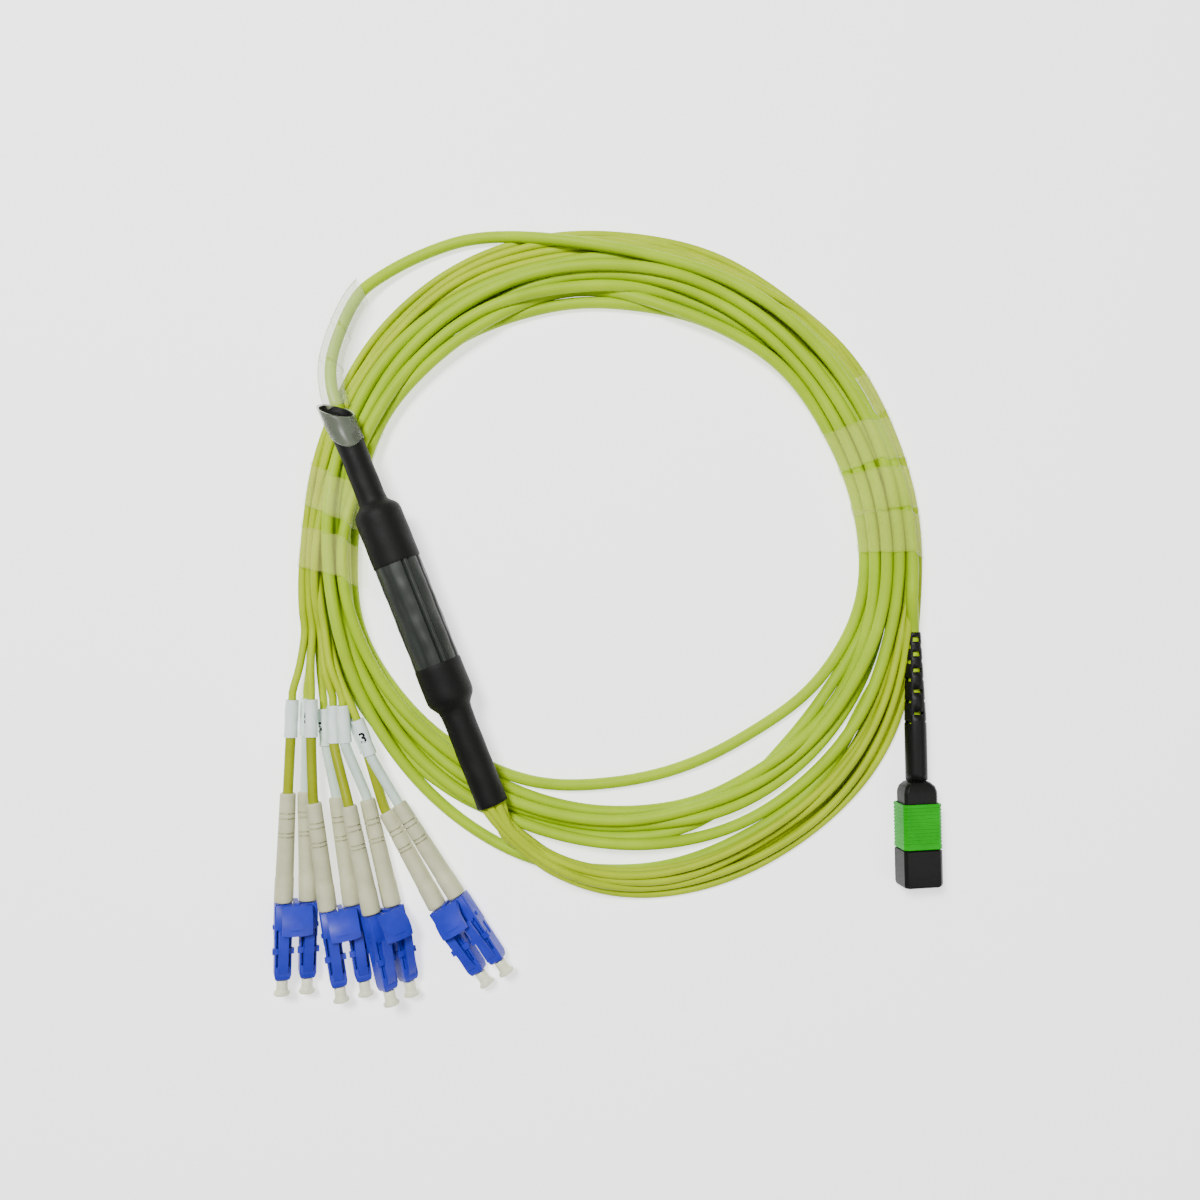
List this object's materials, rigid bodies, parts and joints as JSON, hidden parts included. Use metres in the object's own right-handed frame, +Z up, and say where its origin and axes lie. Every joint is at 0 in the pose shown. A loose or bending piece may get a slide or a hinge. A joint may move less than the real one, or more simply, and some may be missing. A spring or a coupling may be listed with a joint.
{
  "type": "fibre breakout cable",
  "caption": "Coiled lime-yellow fibre trunk with a green-sleeved multi-fibre plug, a black breakout body and yellow legs ending in blue duplex connectors.",
  "frame": {"origin": "middle of the part's bounding box in plan, on the floor that it lies on", "axes": "+X to the right of the picture, +Y to its top, +Z up from the floor"},
  "size_m": [0.1713, 0.1987, 0.0175],
  "materials": {
    "trunk_jacket": "lime yellow low-smoke jacket, slightly glossy",
    "leg_jacket": "yellow jacket, slightly glossy",
    "shrink_tube": "matt black heat-shrink tube",
    "breakout_plastic": "glossy dark grey moulded tube with flutes",
    "clear_wrap": "milky translucent polyethylene strip",
    "connector_blue": "satin blue moulding",
    "boot_grey": "grey-beige soft moulding",
    "cap_white": "off-white moulding",
    "plug_black": "black moulding",
    "sleeve_green": "bright green moulding",
    "label_white": "white printed sleeve, left without text"
  },
  "bodies": {
    "cable": {"breakout_core": "breakout_plastic", "breakout_shrink_lower": "shrink_tube", "breakout_shrink_upper": "shrink_tube", "label_1a": "label_white", "label_1b": "label_white", "label_2a": "label_white", "label_2b": "label_white", "label_3a": "label_white", "label_3b": "label_white", "label_4a": "label_white", "label_4b": "label_white", "lc_1_clip": "connector_blue", "lc_1a_body": "connector_blue", "lc_1a_boot": "boot_grey", "lc_1b_body": "connector_blue", "lc_1b_boot": "boot_grey", "lc_2_clip": "connector_blue", "lc_2a_body": "connector_blue", "lc_2a_boot": "boot_grey", "lc_2b_body": "connector_blue", "lc_2b_boot": "boot_grey", "lc_3_clip": "connector_blue", "lc_3a_body": "connector_blue", "lc_3a_boot": "boot_grey", "lc_3b_body": "connector_blue", "lc_3b_boot": "boot_grey", "lc_4_clip": "connector_blue", "lc_4a_body": "connector_blue", "lc_4a_boot": "boot_grey", "lc_4b_body": "connector_blue", "lc_4b_boot": "boot_grey", "leg_1a": "leg_jacket", "leg_1b": "leg_jacket", "leg_2a": "leg_jacket", "leg_2b": "leg_jacket", "leg_3a": "leg_jacket", "leg_3b": "leg_jacket", "leg_4a": "leg_jacket", "leg_4b": "leg_jacket", "leg_fan": "leg_jacket", "plug_boot": "plug_black", "plug_housing": "plug_black", "plug_lead": "trunk_jacket", "trunk_and_leg_turns_outer": "trunk_jacket", "trunk_lead": "trunk_jacket", "trunk_turn_inner": "trunk_jacket", "trunk_turns_middle": "trunk_jacket", "wrap_lead": "clear_wrap", "wrap_left": "clear_wrap", "wrap_right": "clear_wrap"},
    "plug_sleeve_body": {"plug_sleeve": "sleeve_green"},
    "plug_cap_body": {"plug_cap": "plug_black"},
    "lc_1a_cap_body": {"lc_1a_cap": "cap_white"},
    "lc_1b_cap_body": {"lc_1b_cap": "cap_white"},
    "lc_2a_cap_body": {"lc_2a_cap": "cap_white"},
    "lc_2b_cap_body": {"lc_2b_cap": "cap_white"},
    "lc_3a_cap_body": {"lc_3a_cap": "cap_white"},
    "lc_3b_cap_body": {"lc_3b_cap": "cap_white"},
    "lc_4a_cap_body": {"lc_4a_cap": "cap_white"},
    "lc_4b_cap_body": {"lc_4b_cap": "cap_white"}
  },
  "joints": [
    {"name": "plug_sleeve_slide", "type": "slide", "parent": "cable", "child": "plug_sleeve_body", "axis": [0.0227, -0.9997, 0], "range_m": [-0.0025, 0], "stiffness_N_per_m": 200, "springref_m": 0.002},
    {"name": "plug_cap_pull", "type": "slide", "parent": "cable", "child": "plug_cap_body", "axis": [0.0227, -0.9997, 0], "range_m": [0, 0.012]},
    {"name": "lc_1a_cap_pull", "type": "slide", "parent": "cable", "child": "lc_1a_cap_body", "axis": [-0.0175, -0.9998, 0], "range_m": [0, 0.008]},
    {"name": "lc_1b_cap_pull", "type": "slide", "parent": "cable", "child": "lc_1b_cap_body", "axis": [-0.0175, -0.9998, 0], "range_m": [0, 0.008]},
    {"name": "lc_2a_cap_pull", "type": "slide", "parent": "cable", "child": "lc_2a_cap_body", "axis": [0.1513, -0.9885, 0], "range_m": [0, 0.008]},
    {"name": "lc_2b_cap_pull", "type": "slide", "parent": "cable", "child": "lc_2b_cap_body", "axis": [0.1513, -0.9885, 0], "range_m": [0, 0.008]},
    {"name": "lc_3a_cap_pull", "type": "slide", "parent": "cable", "child": "lc_3a_cap_body", "axis": [0.2164, -0.9763, 0], "range_m": [0, 0.008]},
    {"name": "lc_3b_cap_pull", "type": "slide", "parent": "cable", "child": "lc_3b_cap_body", "axis": [0.2164, -0.9763, 0], "range_m": [0, 0.008]},
    {"name": "lc_4a_cap_pull", "type": "slide", "parent": "cable", "child": "lc_4a_cap_body", "axis": [0.5446, -0.8387, 0], "range_m": [0, 0.008]},
    {"name": "lc_4b_cap_pull", "type": "slide", "parent": "cable", "child": "lc_4b_cap_body", "axis": [0.5446, -0.8387, 0], "range_m": [0, 0.008]}
  ]
}
